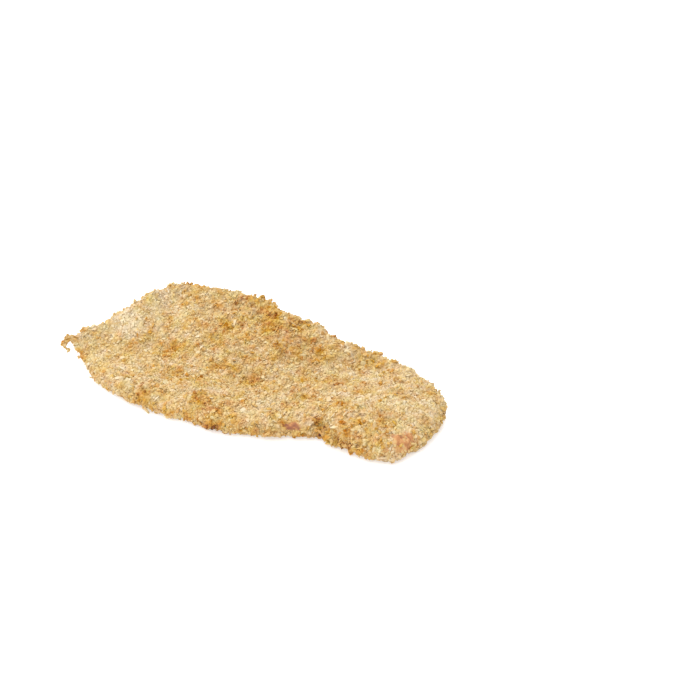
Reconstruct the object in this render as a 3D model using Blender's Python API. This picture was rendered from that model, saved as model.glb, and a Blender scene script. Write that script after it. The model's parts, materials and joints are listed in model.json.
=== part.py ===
"""A breaded schnitzel: one thin, beaten cutlet in a crumb crust, lying on a table.

Its long axis runs along X, from the pointed end at -X to the round lobe at +X. The front rim faces -Y,
the back rim faces +Y and curls up off the table. Z = 0 is the table, and the origin is the middle of the
cutlet's box, on the table. Lengths are in millimetres until the mesh is made.
"""

import bmesh
import bpy
import numpy as np

MM = 0.001

# The outline seen from above, from the pointed end along each rim to the tip of the lobe.
POINTED_END = (-96, -12)
BACK_RIM = (
    (-94, -6), (-90, -2), (-84, 0), (-81, 8), (-78, 16), (-75, 24), (-70, 34), (-62, 40), (-48, 41), (-31, 44),
    (-18, 43), (-2, 40), (15, 38), (31, 34), (48, 33), (63, 29), (78, 24), (88, 14),
)
LOBE_TIP = (92, 0)
FRONT_RIM = (
    (-91, -13), (-83, -16), (-77, -20), (-67, -30), (-51, -36), (-31, -41), (-4, -44), (8, -44), (23, -41),
    (38, -35), (44, -32), (47, -28), (53, -34), (62, -37), (72, -38), (81, -38), (88, -32), (91, -20), (92, -10),
)

# The cutlet lies flat from its front rim to the crease, and its back part rises from there to the back rim.
# Each row: place along X, lift of the front rim, crease as a share of the width from the front, lift of the
# back rim, thickness.
SECTIONS = (
    (-96, 6, 0.10, 6, 4.5),
    (-90, 4, 0.15, 10, 5.5),
    (-82, 1, 0.25, 12, 7.0),
    (-75, 0, 0.32, 14, 8.0),
    (-64, 0, 0.36, 20, 8.5),
    (-45, 0, 0.35, 20, 8.5),
    (-18, 0, 0.34, 18, 9.0),
    (5, 0, 0.42, 15, 9.0),
    (22, 0, 0.58, 11, 9.0),
    (38, 0, 0.77, 8, 9.5),
    (55, 0, 0.84, 6, 10.5),
    (68, 0, 0.88, 3, 11.0),
    (92, 0, 0.92, 0, 10.0),
)
CREST_ROUNDING = 0.35  # share of the rise that levels out towards the back rim
SLOPE_POWER = 1.25  # the rest of the rise starts gently at the crease and goes on as a nearly straight slope
RIM_RADIUS = 6.5
# How high the sharpest line of the rim sits, as a share of the thickness: low in front, halfway at the back.
FRONT_RIM_SEAT, BACK_RIM_SEAT = 0.28, 0.5

# Swells and dents of the upper side: centre, half widths along X and Y, height.
SWELLS = {
    "lobe": ((66, -4), (19, 20), 3.2),
    "waist": ((34, 18), (20, 9), -2.0),
    "flank": ((-66, 4), (13, 22), 1.8),
    "hollow": ((-34, 4), (16, 11), -1.5),
    "cheek": ((-2, 16), (14, 9), 1.3),
    "crease_bed": ((2, -10), (24, 5), -1.5),
    "belly": ((-14, -26), (30, 8), 0.9),
}
# Slow waves that the meat hammer left on the upper side: wave length, heading in degrees, phase, height.
HAMMER_WAVES = ((33, 25, 0.4, 0.5), (21, 100, 2.1, 0.45), (15, -35, 4.0, 0.35), (11, 60, 1.2, 0.25))
# Waves of the outline: how many go round it, phase, height.
RIM_WAVES = ((17, 0.6, 0.7), (29, 2.4, 0.5), (47, 4.1, 0.35))
CALM_END = 18.0  # the rim waves fade within this distance of the pointed end and of the lobe's tip
# A short crease runs inwards from the notch in the front rim, beside the lobe.
NOTCH_START, NOTCH_END = (47, -27), (42, -17)
NOTCH_WIDTH, NOTCH_DEPTH = 2.6, 3.0

STATIONS_ALONG = 76
POINTS_ACROSS = 19
CURVE_STEPS = 24


def smooth_loop(points, steps):
    """A closed Catmull-Rom curve through the points, with this many steps between neighbours."""
    p = np.array(points, float)
    before, after, beyond = np.roll(p, 1, 0), np.roll(p, -1, 0), np.roll(p, -2, 0)
    t = np.linspace(0, 1, steps, endpoint=False)[:, None]
    spans = [
        0.5 * (2 * b + (c - a) * t + (2 * a - 5 * b + 4 * c - d) * t**2 + (3 * b - a - 3 * c + d) * t**3)
        for a, b, c, d in zip(before, p, after, beyond)
    ]
    return np.concatenate(spans)


def evenly(curve, shares):
    """The points that lie at these shares of the curve's own length."""
    run = np.concatenate([[0], np.cumsum(np.linalg.norm(np.diff(curve, axis=0), axis=1))])
    return np.stack([np.interp(shares * run[-1], run, curve[:, k]) for k in (0, 1)], 1)


def closer_at_ends(count):
    """Shares from 0 to 1 that crowd towards both ends, where the rim rounds off."""
    even = np.linspace(0, 1, count)
    return 0.5 - 0.5 * np.cos(np.pi * even)


def ragged(loop):
    """The outline pushed in and out by the rim waves, which die away towards both ends."""
    run = np.cumsum(np.linalg.norm(loop - np.roll(loop, 1, 0), axis=1))
    turn = 2 * np.pi * run / run[-1]
    push = sum(tall * np.sin(count * turn + phase) for count, phase, tall in RIM_WAVES)
    for end in (POINTED_END, LOBE_TIP):
        push *= 1 - np.exp(-((np.linalg.norm(loop - end, axis=1) / CALM_END) ** 2))
    along = np.roll(loop, -1, 0) - np.roll(loop, 1, 0)
    outwards = np.stack([-along[:, 1], along[:, 0]], 1) / np.linalg.norm(along, axis=1)[:, None]
    return loop + outwards * push[:, None]


def rims():
    """The whole outline, and its back and front rim as matching stations from the pointed end to the lobe."""
    corners = [POINTED_END, *BACK_RIM, LOBE_TIP, *reversed(FRONT_RIM)]
    loop = ragged(smooth_loop(corners, CURVE_STEPS))
    turn = CURVE_STEPS * (len(BACK_RIM) + 1)
    shares = 0.6 * closer_at_ends(STATIONS_ALONG) + 0.4 * np.linspace(0, 1, STATIONS_ALONG)
    back = evenly(loop[: turn + 1], shares)
    front = evenly(np.concatenate([loop[turn:], loop[:1]])[::-1], shares)
    return loop, back, front


def distance_to(loop, x, y):
    """How far each point lies inside the outline."""
    start, step = loop, np.roll(loop, -1, 0) - loop
    px, py = x[..., None] - start[:, 0], y[..., None] - start[:, 1]
    share = np.clip((px * step[:, 0] + py * step[:, 1]) / (step**2).sum(1), 0, 1)
    return np.hypot(px - share * step[:, 0], py - share * step[:, 1]).min(-1)


def section_at(x):
    """Front lift, crease share, back lift and thickness at a place along the cutlet."""
    table = np.array(SECTIONS, float)
    return [np.interp(x, table[:, 0], table[:, k]) for k in (1, 2, 3, 4)]


def rise(share, crease, front_lift, back_lift):
    """Height of the under side over the table, at a share of the width from the front rim."""
    s = np.clip((share - crease) / (1 - crease), 0, 1)
    rounded = s * s * (3 - 2 * s)
    slope = s**SLOPE_POWER
    return front_lift + (back_lift - front_lift) * (CREST_ROUNDING * rounded + (1 - CREST_ROUNDING) * slope)


def swell(x, y):
    """What the swells, the dents, the hammer's waves and the notch's crease add to the upper side."""
    height = np.zeros_like(x)
    for length, heading, phase, tall in HAMMER_WAVES:
        angle = np.radians(heading)
        height += tall * np.sin(2 * np.pi * (x * np.cos(angle) + y * np.sin(angle)) / length + phase)
    for (cx, cy), (rx, ry), tall in SWELLS.values():
        height += tall * np.exp(-(((x - cx) / rx) ** 2) - ((y - cy) / ry) ** 2)
    along = np.subtract(NOTCH_END, NOTCH_START)
    px, py = x - NOTCH_START[0], y - NOTCH_START[1]
    share = np.clip((px * along[0] + py * along[1]) / (along @ along), 0, 1)
    off = np.hypot(px - share * along[0], py - share * along[1])
    return height - NOTCH_DEPTH * (1 - share) * np.exp(-((off / NOTCH_WIDTH) ** 2))


def surfaces():
    """Points of the upper and lower side: arrays of station by place across by x, y, z."""
    loop, back, front = rims()
    across = closer_at_ends(POINTS_ACROSS)[None, :, None]
    plan = front[:, None] * (1 - across) + back[:, None] * across
    x, y = plan[..., 0], plan[..., 1]
    front_lift, crease, back_lift, thickness = section_at(x)
    inside = np.clip(distance_to(loop, x, y) / RIM_RADIUS, 0, 1)
    edge = np.sqrt(1 - (1 - inside) ** 2)
    across = across[..., 0]
    below = thickness * (FRONT_RIM_SEAT + (BACK_RIM_SEAT - FRONT_RIM_SEAT) * across)
    seat = below + rise(across, crease, front_lift, back_lift)
    upper = seat + edge * (thickness - below + swell(x, y))
    lower = np.maximum(seat - edge * below, 0)
    x, y = (place - (place.max() + place.min()) / 2 for place in (x, y))
    return np.stack([x, y, upper], -1) * MM, np.stack([x, y, lower], -1) * MM


def crust_material():
    """Dry golden breadcrumb crust."""
    material = bpy.data.materials.new("breadcrumb_crust")
    material.use_nodes = True
    shader = material.node_tree.nodes["Principled BSDF"]
    shader.inputs["Base Color"].default_value = (0.66, 0.42, 0.17, 1)
    shader.inputs["Roughness"].default_value = 0.85
    shader.inputs["Metallic"].default_value = 0
    return material


def make_schnitzel():
    """One closed solid: each station is a ring over the upper side and back under the lower side."""
    upper, lower = surfaces()
    work = bmesh.new()
    rings = []
    for top, under in zip(upper[1:-1], lower[1:-1]):
        ring = [*top, *under[-2:0:-1]]
        rings.append([work.verts.new(point) for point in ring])
    for near, far in zip(rings, rings[1:]):
        for k in range(len(near)):
            nxt = (k + 1) % len(near)
            work.faces.new((near[k], far[k], far[nxt], near[nxt]))
    for ring, pole in ((rings[0], upper[0, 0]), (rings[-1], upper[-1, 0])):
        tip = work.verts.new(pole)
        for k in range(len(ring)):
            work.faces.new((tip, ring[k], ring[(k + 1) % len(ring)]))
    bmesh.ops.triangulate(work, faces=work.faces)
    bmesh.ops.recalc_face_normals(work, faces=work.faces)
    mesh = bpy.data.meshes.new("schnitzel")
    work.to_mesh(mesh)
    work.free()
    mesh.shade_smooth()
    mesh.materials.append(crust_material())
    schnitzel = bpy.data.objects.new("schnitzel", mesh)
    bpy.context.scene.collection.objects.link(schnitzel)
    return schnitzel


def clear_scene():
    for thing in list(bpy.data.objects):
        bpy.data.objects.remove(thing)


clear_scene()
make_schnitzel()
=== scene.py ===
# %% [markdown]
# # A breaded schnitzel
# A thin, beaten cutlet in a dry breadcrumb crust, lying on a pale table with its back rim curled up. The packed
# CAD model is a smooth solid with the true outline, bends and thickness. This lesson dresses it: first a lumpy
# base of egg and fine crumb, then thousands of small crumbs that are each a real piece of mesh, and last the
# table, the light and the camera.

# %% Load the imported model
import json
import math

import bmesh
import bpy
import numpy as np
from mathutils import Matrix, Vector, noise

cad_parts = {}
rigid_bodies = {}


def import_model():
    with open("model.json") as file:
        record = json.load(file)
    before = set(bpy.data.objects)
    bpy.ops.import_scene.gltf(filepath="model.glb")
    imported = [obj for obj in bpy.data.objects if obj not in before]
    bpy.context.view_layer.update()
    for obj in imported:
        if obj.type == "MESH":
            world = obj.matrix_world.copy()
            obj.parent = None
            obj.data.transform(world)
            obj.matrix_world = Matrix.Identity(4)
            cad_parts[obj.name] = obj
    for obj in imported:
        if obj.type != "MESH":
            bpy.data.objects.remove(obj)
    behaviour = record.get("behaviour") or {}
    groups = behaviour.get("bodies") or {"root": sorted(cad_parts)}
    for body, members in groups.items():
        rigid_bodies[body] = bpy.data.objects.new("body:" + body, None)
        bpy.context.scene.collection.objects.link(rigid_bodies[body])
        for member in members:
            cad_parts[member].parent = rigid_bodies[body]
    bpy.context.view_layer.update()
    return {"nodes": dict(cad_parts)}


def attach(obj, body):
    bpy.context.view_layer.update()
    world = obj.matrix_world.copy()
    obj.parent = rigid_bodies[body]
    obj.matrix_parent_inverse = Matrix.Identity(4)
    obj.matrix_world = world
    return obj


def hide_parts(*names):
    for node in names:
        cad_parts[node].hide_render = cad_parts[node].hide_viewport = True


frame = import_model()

MM = 0.001

# %% [markdown]
# ## Two small helpers
# Every colour below is written as a web colour, as a paint chart gives it. Blender works in linear light, so one
# function turns the first into the second. The other helper adds a node to a shader or to a geometry tree, sets
# its properties and fills its inputs with values or with the outputs of earlier nodes. That keeps each tree
# readable from top to bottom.

# %% Colours and nodes


def linear(hex_colour):
    """A web colour as linear red, green, blue and full alpha."""
    channels = [int(hex_colour[k : k + 2], 16) / 255 for k in (1, 3, 5)]
    return [c / 12.92 if c <= 0.04045 else ((c + 0.055) / 1.055) ** 2.4 for c in channels] + [1.0]


def add(tree, kind, inputs=None, **settings):
    """Adds a node with these settings. An input takes a value, or the output that feeds it."""
    node = tree.nodes.new(kind)
    for name, value in settings.items():
        setattr(node, name, value)
    for key, value in (inputs or {}).items():
        if isinstance(value, bpy.types.NodeSocket):
            tree.links.new(value, node.inputs[key])
        else:
            node.inputs[key].default_value = value
    return node


def evaluated_mesh(obj, name):
    """The object's mesh with its modifiers worked in, as a plain mesh."""
    graph = bpy.context.evaluated_depsgraph_get()
    mesh = bpy.data.meshes.new_from_object(obj.evaluated_get(graph), depsgraph=graph)
    mesh.name = name
    return mesh


print("sRGB #808080 is", round(linear("#808080")[0], 3), "in linear light")

# %% [markdown]
# ## The body of the crust
# Under the loose crumbs a real schnitzel has a closed skin: flour, egg and the finest crumb, pressed onto the
# meat. It could be sculpted by hand, but here it starts as a copy of the CAD node. The copy's loose triangles are
# joined at their corners, the very tip is cut away, and a small curl of crust that sticks out there is added
# as a bent tube. A voxel remesh then fuses the two and gives even, small faces that can carry relief.

# %% Copy the solid and cut its tip
VIEW_AZIMUTH = math.radians(25)  # the camera's place round the cutlet, 0 is in front of its long side
VIEW_ELEVATION = math.radians(27)
VOXEL = 0.62 * MM

view_right = Vector((math.cos(VIEW_AZIMUTH), math.sin(VIEW_AZIMUTH), 0))
view_back = Vector(
    (
        math.sin(VIEW_AZIMUTH) * math.cos(VIEW_ELEVATION),
        -math.cos(VIEW_AZIMUTH) * math.cos(VIEW_ELEVATION),
        math.sin(VIEW_ELEVATION),
    )
)
view_up = view_back.cross(view_right)

TIP_CUT = Vector((-90.0, -10.7, 8.5)) * MM
CURL_CENTRE = Vector((-90.6, -11.1, 8.4)) * MM
CURL_RADIUS = 2.9 * MM
CURL_FROM, CURL_TO = math.radians(62), math.radians(272)
CURL_HOLE = 1.5  # no crumbs lie this near to the middle of the curl, mm
CURL_THICKNESS = (2.0, 1.7, 1.6, 1.5, 1.3)  # radii of the strand along the curl, mm


def solid_without_tip(node):
    """A bmesh of the CAD node with joined corners, cut off square to its slanting tip."""
    work = bmesh.new()
    work.from_mesh(frame["nodes"][node].data)
    bmesh.ops.remove_doubles(work, verts=work.verts, dist=0.01 * MM)
    outwards = -0.90 * view_right - 0.43 * view_up
    everything = work.verts[:] + work.edges[:] + work.faces[:]
    cut = bmesh.ops.bisect_plane(work, geom=everything, plane_co=TIP_CUT, plane_no=outwards, clear_outer=True)
    rim = [e for e in cut["geom_cut"] if isinstance(e, bmesh.types.BMEdge)]
    bmesh.ops.holes_fill(work, edges=rim)
    return work


def add_curl(work, steps=22, sides=10):
    """A closed, bent strand that stands in the plane the camera faces."""
    rings = []
    for k in range(steps):
        share = k / (steps - 1)
        turn = CURL_FROM + share * (CURL_TO - CURL_FROM)
        out = math.cos(turn) * view_right + math.sin(turn) * view_up
        thick = np.interp(share, np.linspace(0, 1, len(CURL_THICKNESS)), CURL_THICKNESS) * MM
        ring = []
        for j in range(sides):
            round_it = 2 * math.pi * j / sides
            offset = math.cos(round_it) * out + math.sin(round_it) * view_back
            ring.append(work.verts.new(CURL_CENTRE + out * CURL_RADIUS + offset * thick))
        rings.append(ring)
    faces = [work.faces.new(ring) for ring in (rings[0], rings[-1])]
    for near, far in zip(rings, rings[1:]):
        for j in range(sides):
            faces.append(work.faces.new((near[j], near[(j + 1) % sides], far[(j + 1) % sides], far[j])))
    bmesh.ops.recalc_face_normals(work, faces=faces)


body = solid_without_tip("schnitzel")
add_curl(body)
body_mesh = bpy.data.meshes.new("crust_rough")
body.to_mesh(body_mesh)
body.free()

crust = bpy.data.objects.new("crust", body_mesh)
bpy.context.scene.collection.objects.link(crust)
remesh = crust.modifiers.new("voxels", "REMESH")
remesh.mode = "VOXEL"
remesh.voxel_size = VOXEL
soften = crust.modifiers.new("soften", "SMOOTH")
soften.factor = 0.5
soften.iterations = 3
fine_mesh = evaluated_mesh(crust, "crust")
crust.modifiers.clear()
crust.data = fine_mesh
print("The skin has", len(fine_mesh.polygons), "faces of about", round(VOXEL / MM, 2), "mm")

# %% [markdown]
# ## Where the crust is bare, browned or thick, and where light and shade are painted
# Breading is never even. Two small places lost their crumbs and show the meat, many spots caught more heat and
# are browner, and the coarse crumbs collect along the rims. On top of that browning, shade is painted darker into
# the creases, the trough, the notch and the foot of the rim, and light is painted paler onto faces turned up and
# to the left. Each of these is worked out for every point of the skin and kept as a named attribute. The relief,
# the crumbs and the materials all read the same attributes, so they agree with each other.

# %% Paint the skin with named attributes
BALD_PATCHES = {  # centre and half sizes, mm
    "lobe": ((89.4, -28.0, 9.0), (9.5, 8.0, 7.0)),
    "lobe_foot": ((82.5, -36.0, 6.5), (3.2, 2.4, 2.4)),
    "rim": ((37.8, -34.0, 7.4), (4.2, 3.2, 3.2)),
}
COARSE_PLACES = (  # x, y and radius where the crumb is coarser, mm
    (-20, 33, 16), (8, 31, 12), (-58, 34, 8), (50, -30, 8), (-38, -36, 8), (64, -36, 8), (30, -33, 7),
)
LUMPS = {  # where the crust stands out, or dips below 0: place, radius and height, mm
    "tip": ((-85.6, -4.6, 13.4), 2.2, 3.4),
    "tip_dip": ((-80.5, -3.5, 15.0), 2.4, -1.3),
    "flank_step": ((-76.8, 1.5, 17.0), 2.4, 1.8),
    "slope": ((-69.5, 14.5, 21.6), 4.0, 1.6),
    "upper_slope": ((-65.5, 23.0, 23.5), 5.0, 2.0),
    "peak": ((-59.0, 32.0, 25.8), 3.2, 0.9),
    "crest": ((-20.4, 37.0, 25.6), 2.8, 1.7),
    "crest_fall": ((-3.0, 35.5, 23.5), 9.0, -1.3),
    "back": ((36.4, 31.2, 16.1), 2.5, 0.9),
    "front": ((-40.0, -39.5, 2.4), 2.6, 2.2),
    "notch": ((48.0, -29.5, 3.0), 2.6, 1.6),
    "notch_gap": ((46.8, -27.0, 6.0), 2.0, -2.4),
}
BROWNING_SHADE_AND_LIGHT_SPOTS = {  # x, y, radius in mm, and how much darker, from browning and painted shade. Below 0 is paler, from paler crumb and painted light
    "crest": ((-58, 35, 3, 0.9), (-49, 33, 5, 0.7), (-37, 32, 5, 0.9), (-21, 38, 4, 0.8)),
    "shoulder": ((-8, 34, 5, 1.0), (-4, 28, 6, 1.1), (2, 28, 4, 0.9), (8, 31, 5, 0.7), (-10, 28, 18, 0.2)),
    # The trough, crease and notch rows are partly browning and partly painted shade, where shade falls in those
    # hollows.
    "trough": ((16, 26, 4, 0.6), (22, 25, 5, 0.6), (30, 28, 5, 0.6), (46, 24, 5, 0.6), (28, 22, 14, 0.2)),
    "flank": ((-61, -4, 3, 1.2), (-54, 18, 3, 0.8), (-42, 2, 3, 0.9), (-76, 2, 18, -0.3)),
    "crease": ((-15, -3, 3, 1.6), (-7, 6, 3, 0.6), (2, -6, 3.5, 1.8), (10, 9, 3, 0.8), (1, 18, 3, 0.9)),
    "belly": ((-36, -36, 3, 1.5), (-33, -30, 3, 1.1), (-32, -18, 4, 0.7), (-9, -31, 3.5, 1.7)),
    "front": ((24, -7, 3, 0.8), (34, -9, 4, 1.1), (40, 4, 4, 0.8), (54, -13, 3, 0.8), (56, 0, 3, 0.8)),
    "lobe": ((76, -20, 3, 1.0), (70, -15, 3, 0.6), (60, -36, 4, 0.9), (66, -36, 4, 0.9), (87, -32, 2, 1.4)),
    # The lobe_top rows are partly paler crumb and partly painted light, where the lobe faces up.
    "lobe_top": ((72, 4, 16, -0.35), (50, -4, 12, -0.15)),
    "notch": ((46.2, -25.6, 1.5, 2.9), (49.4, -29.0, 1.8, 3.4), (52, -33, 3, 1.3), (37, -34, 4, 0.8)),
    "tip": ((-83, -14, 3, 1.3), (-64, -14, 3, 0.6), (-93, -11, 4, 0.4)),
    # The dark_ rows are partly browning and partly painted shade on faces turned from the lamps. The pale_ rows are
    # partly paler crumb and partly painted light on faces turned up and to the left.
    "dark_flank": ((-44, 4, 5, 1.0), (-46, -3, 4, 0.7), (-34, -14, 5, 1.3), (-39, -35, 4, 0.8)),
    "dark_slope": ((-27, 18, 6, 1.2), (-19, 23, 4, 0.6), (-21, 33, 4, 1.1), (-5, 25, 5, 0.5)),
    "dark_middle": ((11, 17, 5, 1.2), (18, 18, 4, 1.0), (-1, 5, 5, 0.9), (6, -5, 4, 0.9), (-8, -5, 4, 0.8)),
    "dark_front": ((-6, -37, 5, 1.4), (4, -40, 5, 1.2), (74, -34, 4, 0.9), (84, -26, 4, 0.6), (62, -17, 4, 0.8)),
    "pale_flank": ((-70, 7, 6, -2.0), (-64, 2, 6, -1.6), (-50, -14, 5, -0.9), (-53, -22, 5, -0.9)),
    "pale_left": ((-74, -17, 5, -0.7), (-60, 23, 6, -1.2), (-12, -13, 4, -0.7), (20, -27, 5, -0.8)),
    "pale_crest": ((-39, 33, 4, -1.3), (0, 34, 4, -1.1), (20, 32, 4, -1.0), (36, 28, 4, -1.0)),
    "pale_waist": ((49, 16, 5, -1.0), (39, 19, 4, -0.8), (28, 16, 4, -0.9), (69, 23, 5, -1.3)),
    "pale_lobe": ((69, -6, 6, -0.9), (89, -2, 6, -0.9), (88, -33, 4, -1.4)),
}
FOOT_HEIGHT = 8  # the rim is browner and painted darker for shade below this, mm
FOOT_MIDDLE, FOOT_SPREAD = 28, 34  # where along the cutlet that is strongest, and how far it reaches, mm


def points_and_normals(mesh):
    """Two arrays with a row for each vertex of the mesh."""
    points = np.empty(len(mesh.vertices) * 3)
    normals = np.empty(len(mesh.vertices) * 3)
    mesh.vertices.foreach_get("co", points)
    mesh.vertices.foreach_get("normal", normals)
    return points.reshape(-1, 3), normals.reshape(-1, 3)


def write(mesh, name, values):
    """Keeps one number for each vertex under this name."""
    made = mesh.attributes.get(name) or mesh.attributes.new(name, "FLOAT", "POINT")
    made.data.foreach_set("value", np.asarray(values, np.float32))


def cloudy(points, size):
    """Soft noise from -1 to 1 at each point, with blotches of about this size in metres."""
    return np.array([noise.noise(Vector(p) / size) for p in points])


def bare_places(points):
    """1 where the crumbs are missing, 0 where they hold, with a ragged rim between."""
    rag = 0.55 * cloudy(points, 3.5 * MM) + 0.35 * cloudy(points, 1.3 * MM)
    bare = np.zeros(len(points))
    for centre, half in BALD_PATCHES.values():
        off = np.linalg.norm((points / MM - centre) / half, axis=1) + rag
        bare = np.maximum(bare, np.clip((1.0 - off) / 0.5, 0, 1))
    return bare


def lumpy_places(points, rim, coarse):
    """How far the crust is raised by its clumps: the named ones, and others at random where it is coarse."""
    raised = (0.6 * rim + 1.4 * coarse) * cloudy(points, 3.2 * MM)
    for centre, radius, height in LUMPS.values():
        off = np.linalg.norm(points / MM - centre, axis=1) / radius
        raised += height * np.exp(-(off**2))
    return raised * MM


def coarse_places(points):
    """1 in the middle of the places with coarse crumb, falling off around them."""
    coarse = np.zeros(len(points))
    for x, y, radius in COARSE_PLACES:
        off = np.hypot(points[:, 0] / MM - x, points[:, 1] / MM - y) / radius
        coarse = np.maximum(coarse, np.exp(-(off**2)))
    return coarse


def browning_shade_and_light(points, rim):
    """How much each point is browned, with painted shade at the foot of the rim and in the named spots,
    and painted light where they fall below 0, all broken up by noise.
    """
    # The foot of the rim is darkened: partly browning, partly painted shade low on the rim by the table.
    foot = np.clip(1.3 * (1 - points[:, 2] / (FOOT_HEIGHT * MM)), 0, 1) * rim
    along = np.exp(-(((points[:, 0] / MM - FOOT_MIDDLE) / FOOT_SPREAD) ** 2))
    brown_shade_light = foot * (0.5 + 1.6 * along) * np.clip(1 + cloudy(points, 7 * MM), 0.3, 1.7)
    for spots in BROWNING_SHADE_AND_LIGHT_SPOTS.values():
        for x, y, radius, strength in spots:
            off = np.hypot(points[:, 0] / MM - x, points[:, 1] / MM - y) / radius
            brown_shade_light += strength * np.exp(-(off**2))
    return brown_shade_light * (1 + 0.6 * cloudy(points, 2.5 * MM))


points, normals = points_and_normals(fine_mesh)
bare = bare_places(points)
under = np.clip(-normals[:, 2] * 2.5 - 0.5, 0, 1)
rim = np.clip(1.3 - 1.6 * np.abs(normals[:, 2]), 0, 1)
browned = browning_shade_and_light(points, rim)
coarse = coarse_places(points)
patchy = 0.5 + 0.5 * cloudy(points, 9 * MM)
upper = 1 - 0.5 * under
write(fine_mesh, "bare", bare)
write(fine_mesh, "browned", browned)
in_curl = np.linalg.norm(points - np.array(CURL_CENTRE), axis=1) / MM
covered = upper * (1 - 0.86 * bare) * np.clip((in_curl - CURL_HOLE) / 0.6, 0, 1)
raised = lumpy_places(points, rim, coarse)
groups = np.clip(1.6 * cloudy(points, 4.5 * MM), 0, 1)
write(fine_mesh, "raised", raised)
write(fine_mesh, "for_fine", covered * (1 - 0.6 * coarse))
write(fine_mesh, "for_coarse", covered * np.clip(0.05 + coarse + 0.25 * rim + 0.25 * groups, 0, 1))
# Golden and toasted crumbs gather where the crust is browned and where shade is painted darker, so they carry that
# painted shade too.
write(fine_mesh, "for_golden", covered * np.clip(0.2 + 0.4 * patchy + 0.6 * groups + 0.4 * browned, 0, 1))
write(fine_mesh, "for_clumps", covered * np.clip(0.6 * groups + 0.6 * rim + 0.7 * raised / MM, 0, 1))
write(fine_mesh, "for_toasted", covered * np.clip(0.03 + 0.1 * rim + 0.9 * browned, 0, 1))
print("Bare:", int((bare > 0.5).sum()), "points. Browned:", int((browned > 0.4).sum()), "points.")

# %% [markdown]
# ## Relief of the skin
# The skin is drawn in a little, to leave room for the crumbs, and then raised and dented: broad swells where
# clumps of crumb were pressed on, and a fine grain between them. A displacement in the shader would be lost when
# the model leaves Blender, so the points themselves are moved, by a small geometry tree with named sizes.

# %% Build the relief as a geometry tree


def new_tree(name, inputs):
    """A geometry tree whose input sockets are given as (name, kind, default). Returns it and its input node."""
    tree = bpy.data.node_groups.new(name, "GeometryNodeTree")
    tree.interface.new_socket("Geometry", in_out="INPUT", socket_type="NodeSocketGeometry")
    tree.interface.new_socket("Geometry", in_out="OUTPUT", socket_type="NodeSocketGeometry")
    for label, kind, default in inputs:
        socket = tree.interface.new_socket(label, in_out="INPUT", socket_type=kind)
        if default is not None:
            socket.default_value = default
    return tree, tree.nodes.new("NodeGroupInput")


def set_inputs(modifier, values):
    """Fills the modifier's inputs, found by their names and set by their identifiers."""
    for item in modifier.node_group.interface.items_tree:
        if item.item_type == "SOCKET" and item.in_out == "INPUT" and item.name in values:
            modifier[item.identifier] = values[item.name]


def on_the_table(tree, geometry):
    """Flattens whatever would reach below the table."""
    place = add(tree, "GeometryNodeInputPosition").outputs[0]
    parts = add(tree, "ShaderNodeSeparateXYZ", {0: place})
    above = add(tree, "ShaderNodeMath", {0: parts.outputs[2], 1: 0.0}, operation="MAXIMUM").outputs[0]
    kept = add(tree, "ShaderNodeCombineXYZ", {0: parts.outputs[0], 1: parts.outputs[1], 2: above}).outputs[0]
    return add(tree, "GeometryNodeSetPosition", {"Geometry": geometry, "Position": kept}).outputs[0]


def relief_tree():
    """Moves each point along its normal by noise in three sizes and by its clumps, less where it is bare."""
    tree, given = new_tree(
        "crust relief",
        [
            ("Inset", "NodeSocketFloat", 0.7 * MM),
            ("Swell Size", "NodeSocketFloat", 8 * MM),
            ("Swell Height", "NodeSocketFloat", 0.5 * MM),
            ("Lump Size", "NodeSocketFloat", 4 * MM),
            ("Lump Height", "NodeSocketFloat", 0.5 * MM),
            ("Grain Size", "NodeSocketFloat", 2 * MM),
            ("Grain Height", "NodeSocketFloat", 0.4 * MM),
        ],
    )
    get = given.outputs
    bare = add(tree, "GeometryNodeInputNamedAttribute", {0: "bare"}).outputs[0]
    covered = add(tree, "ShaderNodeMath", {0: bare, 1: -0.6, 2: 1.0}, operation="MULTIPLY_ADD").outputs[0]
    raised = add(tree, "GeometryNodeInputNamedAttribute", {0: "raised"}).outputs[0]
    height = add(tree, "ShaderNodeMath", {0: raised, 1: 0.5}, operation="MULTIPLY").outputs[0]
    for kind in ("Swell", "Lump", "Grain"):
        size, tall = kind + " Size", kind + " Height"
        scale = add(tree, "ShaderNodeMath", {0: 1.0, 1: get[size]}, operation="DIVIDE").outputs[0]
        clouds = add(tree, "ShaderNodeTexNoise", {"Scale": scale, "Detail": 2.0, "Roughness": 0.55})
        centred = add(tree, "ShaderNodeMath", {0: clouds.outputs[0], 1: 0.5}, operation="SUBTRACT").outputs[0]
        raised = add(tree, "ShaderNodeMath", {0: centred, 1: get[tall]}, operation="MULTIPLY").outputs[0]
        height = add(tree, "ShaderNodeMath", {0: height, 1: raised}).outputs[0]
    doubled = add(tree, "ShaderNodeMath", {0: height, 1: 2.0}, operation="MULTIPLY").outputs[0]
    calmed = add(tree, "ShaderNodeMath", {0: doubled, 1: covered}, operation="MULTIPLY").outputs[0]
    total = add(tree, "ShaderNodeMath", {0: calmed, 1: get["Inset"]}, operation="SUBTRACT").outputs[0]
    normal = add(tree, "GeometryNodeInputNormal").outputs[0]
    offset = add(tree, "ShaderNodeVectorMath", {0: normal, "Scale": total}, operation="SCALE").outputs[0]
    moved = add(tree, "GeometryNodeSetPosition", {"Geometry": get["Geometry"], "Offset": offset}).outputs[0]
    add(tree, "NodeGroupOutput", {0: on_the_table(tree, moved)})
    return tree


relief = crust.modifiers.new("relief", "NODES")
relief.node_group = relief_tree()
heights = {"Swell Height": 0.6 * MM, "Lump Height": 1.0 * MM, "Grain Height": 0.6 * MM}
set_inputs(relief, {"Inset": 0.85 * MM, **heights})
crust_mesh = evaluated_mesh(crust, "crust")
crust.modifiers.clear()
crust.data = crust_mesh
crust_mesh.shade_smooth()
print("The skin's lowest point is", round(points_and_normals(crust_mesh)[0][:, 2].min() / MM, 2), "mm up")
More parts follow.
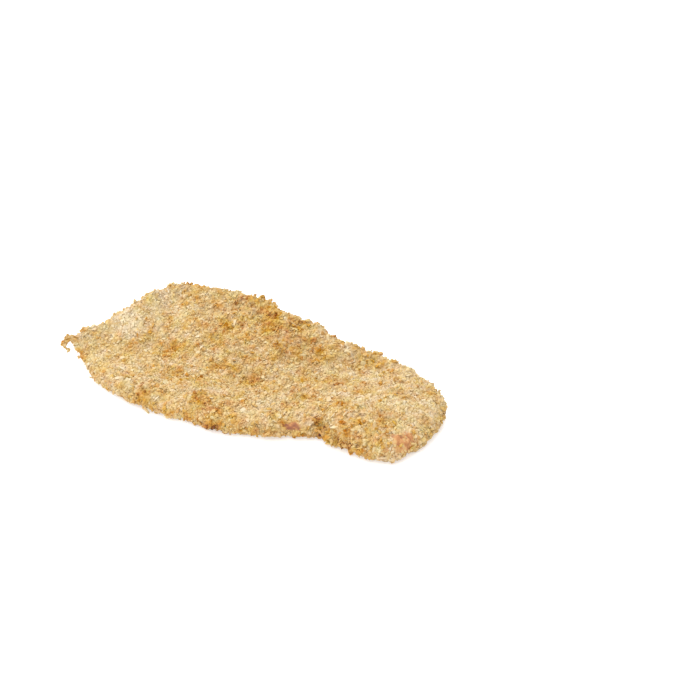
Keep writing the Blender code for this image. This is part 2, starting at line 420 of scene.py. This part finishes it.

# %% [markdown]
# ## What the crust is made of
# Dry breadcrumb is crushed bread: matt, a little see-through at its edges, pale where it is crumb and golden to
# brown where it is crust or caught the heat. Each crumb carries a number of its own from 0 to 1, its tone, which
# picks its colour from a ramp. A browned place, or one with painted shade, pushes the tone of all its crumbs up,
# and painted light pulls it down. The skin between the crumbs has the same colours, driven by noise in place of
# the tone.

# %% Make the crumb and skin materials
TOASTING = (  # from crumb to crust, to burnt edge
    (0.00, "#CDBC9C"),
    (0.22, "#C6AE81"),
    (0.45, "#BE9C61"),
    (0.62, "#B78B45"),
    (0.78, "#AC762F"),
    (0.90, "#875024"),
    (1.00, "#532A17"),
)
MEAT = ((0.22, "#84533C"), (0.40, "#A77046"), (0.54, "#BE8755"), (0.70, "#D4AC79"))  # seared to pale
BROWNING_SHADE_LIGHT_PUSH = 0.24  # how far browning and painted shade push the tone on, and painted light pulls it back


def colour_ramp(tree, factor, stops):
    """A colour ramp with these places and colours."""
    node = add(tree, "ShaderNodeValToRGB", {"Fac": factor})
    ramp = node.color_ramp
    while len(ramp.elements) < len(stops):
        ramp.elements.new(0.5)
    for element, (place, colour) in zip(ramp.elements, stops):
        element.position = place
        element.color = linear(colour)
    return node.outputs[0]


def new_material(name, roughness, specular, subsurface=0.0):
    """A material with a Principled shader whose constants are set on its own sockets."""
    material = bpy.data.materials.new(name)
    material.use_nodes = True
    tree = material.node_tree
    shader = tree.nodes["Principled BSDF"]
    shader.inputs["Roughness"].default_value = roughness
    shader.inputs["Specular IOR Level"].default_value = specular
    shader.inputs["Subsurface Weight"].default_value = subsurface
    shader.inputs["Subsurface Radius"].default_value = (1.0, 0.55, 0.25)
    shader.inputs["Subsurface Scale"].default_value = 0.6 * MM
    return material, tree, shader


def browning_shade_light_tone(tree, tone):
    """Pushes a tone on where the crust is browned or has painted shade, back where it has painted light,
    and less the browner it already is.
    """
    brown_shade_light = add(tree, "ShaderNodeAttribute", attribute_name="browned").outputs["Fac"]
    left = add(tree, "ShaderNodeMath", {0: 1.0, 1: tone}, operation="SUBTRACT").outputs[0]
    push = add(tree, "ShaderNodeMath", {0: brown_shade_light, 1: BROWNING_SHADE_LIGHT_PUSH}, operation="MULTIPLY").outputs[0]
    return add(tree, "ShaderNodeMath", {0: left, 1: push, 2: tone}, operation="MULTIPLY_ADD").outputs[0]


def blotchy_tone(tree, tone):
    """Pushes a tone up and down in blotches, so that neighbouring crumbs look alike."""
    place = add(tree, "ShaderNodeTexCoord").outputs["Object"]
    for size, strength in ((11.0, 0.35), (4.0, 0.80), (1.5, 0.20)):
        noise = add(tree, "ShaderNodeTexNoise", {"Vector": place, "Scale": 1 / (size * MM), "Detail": 1.0})
        centred = add(tree, "ShaderNodeMath", {0: noise.outputs[0], 1: 0.5}, operation="SUBTRACT").outputs[0]
        push = {0: centred, 1: strength, 2: tone}
        tone = add(tree, "ShaderNodeMath", push, operation="MULTIPLY_ADD").outputs[0]
    return tone


def varied(tree, colour):
    """Lets a colour drift between pinkish and yellowish, and between dull and rich, over a few millimetres."""
    place = add(tree, "ShaderNodeTexCoord").outputs["Object"]
    changes = []
    for size, middle, swing in ((4.5, 0.501, 0.060), (7.0, 1.0, 0.50)):
        noise = add(tree, "ShaderNodeTexNoise", {"Vector": place, "Scale": 1 / (size * MM), "Detail": 2.0})
        drift = {"Value": noise.outputs[0], "To Min": middle - swing / 2, "To Max": middle + swing / 2}
        changes.append(add(tree, "ShaderNodeMapRange", drift).outputs[0])
    mixed = {"Color": colour, "Hue": changes[0], "Saturation": changes[1]}
    return add(tree, "ShaderNodeHueSaturation", mixed).outputs[0]


def crumb_material(name, shift, spread):
    """Breadcrumb. Its tone runs from shift to shift + spread, and more where it is browned or has painted shade."""
    material, tree, shader = new_material(name, 0.75, 0.25)
    tone = add(tree, "ShaderNodeAttribute", attribute_name="tone").outputs["Fac"]
    own = add(tree, "ShaderNodeMath", {0: tone, 1: spread, 2: shift}, operation="MULTIPLY_ADD").outputs[0]
    colour = varied(tree, colour_ramp(tree, blotchy_tone(tree, browning_shade_light_tone(tree, own)), TOASTING))
    tree.links.new(colour, shader.inputs["Base Color"])
    return material


def skin_material():
    """The pressed skin between the crumbs, and the bare meat where they are missing."""
    material, tree, shader = new_material("breadcrumb_skin", 0.7, 0.3)
    place = add(tree, "ShaderNodeTexCoord").outputs["Object"]
    bare = add(tree, "ShaderNodeAttribute", attribute_name="bare").outputs["Fac"]
    grain = add(tree, "ShaderNodeTexNoise", {"Vector": place, "Scale": 1 / (0.8 * MM), "Detail": 2.0})
    tone = add(tree, "ShaderNodeMath", {0: grain.outputs[0], 1: 0.2, 2: 0.22}, operation="MULTIPLY_ADD").outputs[0]
    crumb_colour = varied(tree, colour_ramp(tree, blotchy_tone(tree, browning_shade_light_tone(tree, tone)), TOASTING))
    fibres = add(tree, "ShaderNodeTexNoise", {"Vector": place, "Scale": 1 / (1.5 * MM), "Detail": 3.0})
    brown_shade_light = add(tree, "ShaderNodeAttribute", attribute_name="browned").outputs["Fac"]
    # The bare meat is seared darker where the crust is browned and where shade is painted.
    rawer = add(tree, "ShaderNodeMath", {0: brown_shade_light, 1: -0.24, 2: fibres.outputs[0]}, operation="MULTIPLY_ADD")
    meat = colour_ramp(tree, rawer.outputs[0], MEAT)
    colour = add(tree, "ShaderNodeMix", {"Factor": bare, 6: crumb_colour, 7: meat}, data_type="RGBA")
    tree.links.new(colour.outputs[2], shader.inputs["Base Color"])
    return material


crust_mesh.materials.clear()
crust_mesh.materials.append(skin_material())
print("Materials:", [m.name for m in bpy.data.materials if m.name.startswith("breadcrumb")])

# %% [markdown]
# ## The shapes of the crumbs
# Crushed bread breaks into small angular chunks, thin flakes and slivers. A few shapes of each are enough, for
# they are turned and scaled at random later. The quickest way to such a chunk is a convex hull: scatter a few
# points on a squashed ball and shrink a skin around them. Each has few faces, because thousands are made of it.

# %% Make a handful of crumb shapes


def add_chunk(work, rng, corners, proportions, centre):
    """An angular bit about one unit across, as the hull of random points on an ellipsoid."""
    directions = rng.normal(size=(corners, 3))
    directions /= np.linalg.norm(directions, axis=1)[:, None]
    reach = rng.uniform(0.34, 0.60, (corners, 1))
    new = [work.verts.new(place) for place in directions * reach * proportions + centre]
    bmesh.ops.convex_hull(work, input=new)
    loose = [v for v in work.verts if not v.link_faces]
    bmesh.ops.delete(work, geom=loose, context="VERTS")


def crumb(name, seed, bits, corners, proportions):
    """A crumb of one angular bit, or a clump of a few that stick together."""
    rng = np.random.default_rng(seed)
    work = bmesh.new()
    for k in range(bits):
        centre = rng.uniform(-0.26, 0.26, 3) if k else np.zeros(3)
        size = 1.0 if bits == 1 else rng.uniform(0.5, 0.75)
        uneven = size * np.array(proportions) * rng.uniform(0.7, 1.3, 3)
        add_chunk(work, rng, corners, uneven, centre)
    bmesh.ops.recalc_face_normals(work, faces=work.faces)
    mesh = bpy.data.meshes.new(name)
    work.to_mesh(mesh)
    work.free()
    return bpy.data.objects.new(name, mesh)


def shape_collection(name, look, count=8):
    """A hidden collection of different crumbs to pick from."""
    group = bpy.data.collections.new(name)
    for k in range(count):
        shape = crumb(f"{name}_{k}", look["seed"] + k, look["bits"], look["corners"], look["proportions"])
        group.objects.link(shape)
    return group


# %% [markdown]
# ## Scattering the crumbs
# Crumbs lie on the skin at random but never in the same place, and the real crust has a few kinds: mostly fine
# pale and straw-coloured ones, then coarse and golden bits and clumps, and a few toasted chunks, slivers and
# whitish flakes. One geometry tree serves them all. It throws points on the skin, keeps them apart, sets a shape
# on each with its own size, turn and tone, and makes the result real mesh.

# %% Build the scatter tree
TURN = 2 * math.pi


def scatter_tree():
    """Crumbs on a surface: points, sizes, turns and tones, all from one seed."""
    tree, given = new_tree(
        "crumb scatter",
        [
            ("Shapes", "NodeSocketCollection", None),
            ("Where", "NodeSocketString", "for_fine"),
            ("Per Square Metre", "NodeSocketFloat", 1e6),
            ("Closest", "NodeSocketFloat", 0.7 * MM),
            ("Smallest", "NodeSocketFloat", 0.7 * MM),
            ("Largest", "NodeSocketFloat", 1.4 * MM),
            ("Sink", "NodeSocketFloat", 0.1),
            ("Tilt", "NodeSocketFloat", 0.8),
            ("Seed", "NodeSocketInt", 1),
            ("Material", "NodeSocketMaterial", None),
        ],
    )
    get = given.outputs
    where = add(tree, "GeometryNodeInputNamedAttribute", {0: get["Where"]}).outputs[0]
    thrown = add(
        tree,
        "GeometryNodeDistributePointsOnFaces",
        {
            "Mesh": get["Geometry"],
            "Distance Min": get["Closest"],
            "Density Max": get["Per Square Metre"],
            "Density Factor": where,
            "Seed": get["Seed"],
        },
        distribute_method="POISSON",
    )
    share = add(tree, "FunctionNodeRandomValue", {2: 0.0, 3: 1.0, 8: get["Seed"]}, data_type="FLOAT").outputs[1]
    skewed = add(tree, "ShaderNodeMath", {0: share, 1: 1.8}, operation="POWER").outputs[0]
    size = add(
        tree, "ShaderNodeMapRange", {"Value": skewed, "To Min": get["Smallest"], "To Max": get["Largest"]}
    ).outputs[0]
    sized = add(
        tree,
        "GeometryNodeStoreNamedAttribute",
        {"Geometry": thrown.outputs["Points"], "Name": "crumb_size", "Value": size},
        data_type="FLOAT",
        domain="POINT",
    ).outputs[0]
    own_size = add(tree, "GeometryNodeInputNamedAttribute", {0: "crumb_size"}).outputs[0]
    rise = add(tree, "ShaderNodeMath", {0: own_size, 1: get["Sink"]}, operation="MULTIPLY").outputs[0]
    lift = add(tree, "ShaderNodeVectorMath", {0: thrown.outputs["Normal"], "Scale": rise}, operation="SCALE")
    placed = add(tree, "GeometryNodeSetPosition", {"Geometry": sized, "Offset": lift.outputs[0]}).outputs[0]
    least = add(tree, "ShaderNodeMath", {0: 0.0, 1: get["Tilt"]}, operation="SUBTRACT").outputs[0]
    low = add(tree, "ShaderNodeCombineXYZ", {0: least, 1: least, 2: 0.0}).outputs[0]
    high = add(tree, "ShaderNodeCombineXYZ", {0: get["Tilt"], 1: get["Tilt"], 2: TURN}).outputs[0]
    turn = add(
        tree, "FunctionNodeRandomValue", {0: low, 1: high, 8: get["Seed"]}, data_type="FLOAT_VECTOR"
    ).outputs[0]
    rotation = add(
        tree, "FunctionNodeRotateRotation", {0: thrown.outputs["Rotation"], 1: turn}, rotation_space="LOCAL"
    ).outputs[0]
    shapes = add(
        tree, "GeometryNodeCollectionInfo", {"Collection": get["Shapes"], 1: True, 2: True}
    ).outputs[0]
    dotted = add(
        tree,
        "GeometryNodeInstanceOnPoints",
        {"Points": placed, "Instance": shapes, "Pick Instance": True, "Rotation": rotation, "Scale": own_size},
    ).outputs[0]
    tone = add(tree, "FunctionNodeRandomValue", {2: 0.0, 3: 1.0, 8: 77}, data_type="FLOAT").outputs[1]
    toned = add(
        tree,
        "GeometryNodeStoreNamedAttribute",
        {"Geometry": dotted, "Name": "tone", "Value": tone},
        data_type="FLOAT",
        domain="INSTANCE",
    ).outputs[0]
    real = add(tree, "GeometryNodeRealizeInstances", {"Geometry": toned}).outputs[0]
    flattened = on_the_table(tree, real)
    finished = add(tree, "GeometryNodeSetMaterial", {"Geometry": flattened, "Material": get["Material"]}).outputs[0]
    add(tree, "NodeGroupOutput", {0: finished})
    return tree


crumb_scatter = scatter_tree()
print("The scatter tree has", len(crumb_scatter.nodes), "nodes")

# %% [markdown]
# ## Eight kinds of crumb
# Each row below is one kind: how its shapes look, how thickly it lies, how large it is and how toasted. Packet
# crumbs are one to two millimetres across, and the coarse ones and the clumps reach four. The fine ones are
# everywhere, and the coarse ones lie where the attribute for_coarse is high. The kinds stay separate pieces, so
# that each can be repainted or left out by itself.

# %% Scatter each kind
KINDS = {
    "pale_crumbs": dict(
        bits=1, corners=14, proportions=(1.0, 0.9, 0.8), where="for_fine", per_mm2=2.0, closest=1.25,
        smallest=1.3, largest=2.8, sink=0.0, tilt=3.0, seed=11, shift=0.20, spread=0.10,
    ),
    "straw_crumbs": dict(
        bits=1, corners=14, proportions=(1.0, 0.85, 0.8), where="for_fine", per_mm2=2.0, closest=1.25,
        smallest=1.3, largest=2.8, sink=-0.04, tilt=3.0, seed=23, shift=0.30, spread=0.12,
    ),
    "coarse_crumbs": dict(
        bits=2, corners=9, proportions=(1.2, 0.9, 0.7), where="for_coarse", per_mm2=0.42, closest=2.3,
        smallest=2.7, largest=4.4, sink=0.05, tilt=3.0, seed=71, shift=0.08, spread=0.52,
    ),
    "crumb_slivers": dict(
        bits=1, corners=10, proportions=(1.5, 0.42, 0.36), where="for_coarse", per_mm2=0.07, closest=2.6,
        smallest=2.2, largest=4.0, sink=0.22, tilt=0.5, seed=83, shift=0.04, spread=0.34,
    ),
    "golden_crumbs": dict(
        bits=3, corners=9, proportions=(1.2, 0.9, 0.65), where="for_golden", per_mm2=0.12, closest=2.4,
        smallest=2.2, largest=4.2, sink=0.12, tilt=0.7, seed=37, shift=0.50, spread=0.16,
    ),
    "crumb_clumps": dict(
        bits=4, corners=8, proportions=(1.2, 0.85, 0.65), where="for_clumps", per_mm2=0.5, closest=1.8,
        smallest=1.8, largest=3.6, sink=0.07, tilt=3.0, seed=61, shift=0.22, spread=0.34,
    ),
    "toasted_crumbs": dict(
        bits=4, corners=8, proportions=(1.2, 0.85, 0.6), where="for_toasted", per_mm2=0.2, closest=2.4,
        smallest=2.0, largest=3.8, sink=0.04, tilt=3.0, seed=41, shift=0.50, spread=0.26,
    ),
    "pale_flakes": dict(
        bits=1, corners=9, proportions=(1.2, 0.9, 0.3), where="for_fine", per_mm2=0.03, closest=2.2,
        smallest=1.4, largest=2.6, sink=0.22, tilt=0.4, seed=53, shift=0.05, spread=0.10,
    ),
}


def scatter(name, look):
    """Makes one kind of crumb as a plain mesh on the crust."""
    shapes = shape_collection(name + "_shape", look)
    material = crumb_material("breadcrumb_" + name, look["shift"], look["spread"])
    crumbs = bpy.data.objects.new(name, crust_mesh)
    bpy.context.scene.collection.objects.link(crumbs)
    modifier = crumbs.modifiers.new("scatter", "NODES")
    modifier.node_group = crumb_scatter
    set_inputs(
        modifier,
        {
            "Shapes": shapes,
            "Where": look["where"],
            "Per Square Metre": look["per_mm2"] / MM**2,
            "Closest": look["closest"] * MM,
            "Smallest": look["smallest"] * MM,
            "Largest": look["largest"] * MM,
            "Sink": look["sink"],
            "Tilt": look["tilt"],
            "Seed": look["seed"],
            "Material": material,
        },
    )
    mesh = evaluated_mesh(crumbs, name)
    crumbs.modifiers.clear()
    crumbs.data = mesh
    for shape in list(shapes.objects):
        bpy.data.objects.remove(shape)
    bpy.data.collections.remove(shapes)
    print(f"{name}: {len(mesh.polygons)} triangles")
    return crumbs


crumb_pieces = [scatter(name, look) for name, look in KINDS.items()]

# %% [markdown]
# ## Handing the pieces to the frame
# The dressed crust takes the place of the plain CAD node, which stays behind for collision. Nothing on a
# schnitzel moves, so all pieces ride on its one body.

# %% Tie the pieces to the body
for piece in [crust, *crumb_pieces]:
    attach(piece, "root")
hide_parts("schnitzel")
print("Pieces:", [piece.name for piece in (crust, *crumb_pieces)])

# %% [markdown]
# ## Table, light and camera
# The cutlet lies on a bright white sheet in soft, even light, as in a packshot. A white sky and three large soft
# lamps, above, in front and a weaker one on the left, fill the gaps between the crumbs and leave just enough
# shade to show the relief. The sheet glows a little, as the lit acrylic that photographers use, so the shadow
# under the rim stays pale. The camera looks along the cutlet's front at a low angle.

# %% Make the table and its paint
FLOOR_SIZE = 8.0


def table_top():
    """A large, faintly glowing white sheet on which the cutlet lies."""
    mesh = bpy.data.meshes.new("table_top")
    half = FLOOR_SIZE / 2
    corners = [(-half, -half, 0), (half, -half, 0), (half, half, 0), (-half, half, 0)]
    mesh.from_pydata(corners, [], [(0, 1, 2, 3)])
    table = bpy.data.objects.new("table_top", mesh)
    bpy.context.scene.collection.objects.link(table)
    material, tree, shader = new_material("opal_acrylic", 0.9, 0.1)
    shader.inputs["Base Color"].default_value = linear("#DCDCDE")
    shader.inputs["Emission Color"].default_value = linear("#FFFFFF")
    shader.inputs["Emission Strength"].default_value = 0.42
    mesh.materials.append(material)
    return table


table_top()

# %% Light it
LAMPS = {  # where, size, power, colour
    "window_left": ((-0.85, -0.05, 0.50), 0.60, 3.5, "#FFFFFF"),
    "soft_top": ((-0.15, 0.40, 1.05), 0.80, 8.0, "#FFFFFF"),
    "soft_front": ((0.15, -0.85, 0.75), 0.90, 8.0, "#FFFFFF"),
}


def lamp(name, place, size, power, colour):
    """A square soft lamp that faces the cutlet."""
    light = bpy.data.lights.new(name, "AREA")
    light.size = size
    light.energy = power
    light.color = linear(colour)[:3]
    holder = bpy.data.objects.new(name, light)
    holder.location = place
    holder.rotation_mode = "QUATERNION"
    holder.rotation_quaternion = Vector(place).to_track_quat("Z", "Y")
    bpy.context.scene.collection.objects.link(holder)


for name, facts in LAMPS.items():
    lamp(name, *facts)

sky = bpy.data.worlds.new("white_studio")
sky.use_nodes = True
sky.node_tree.nodes["Background"].inputs["Color"].default_value = linear("#FFFFFF")
sky.node_tree.nodes["Background"].inputs["Strength"].default_value = 0.80
bpy.context.scene.world = sky
bpy.context.scene.view_settings.view_transform = "Standard"

# %% Set the camera
VIEW_TARGET = Vector((24.34, 54.28, 0)) * MM
VIEW_DISTANCE = 0.7933

camera_data = bpy.data.cameras.new("camera")
camera_data.lens = 85
camera_data.sensor_width = 36
camera = bpy.data.objects.new("camera", camera_data)
camera.location = VIEW_TARGET + view_back * VIEW_DISTANCE
camera.rotation_mode = "QUATERNION"
camera.rotation_quaternion = (-view_back).to_track_quat("-Z", "Y")
bpy.context.scene.collection.objects.link(camera)
bpy.context.scene.camera = camera
print("The camera stands at", [round(c, 3) for c in camera.location], "m")
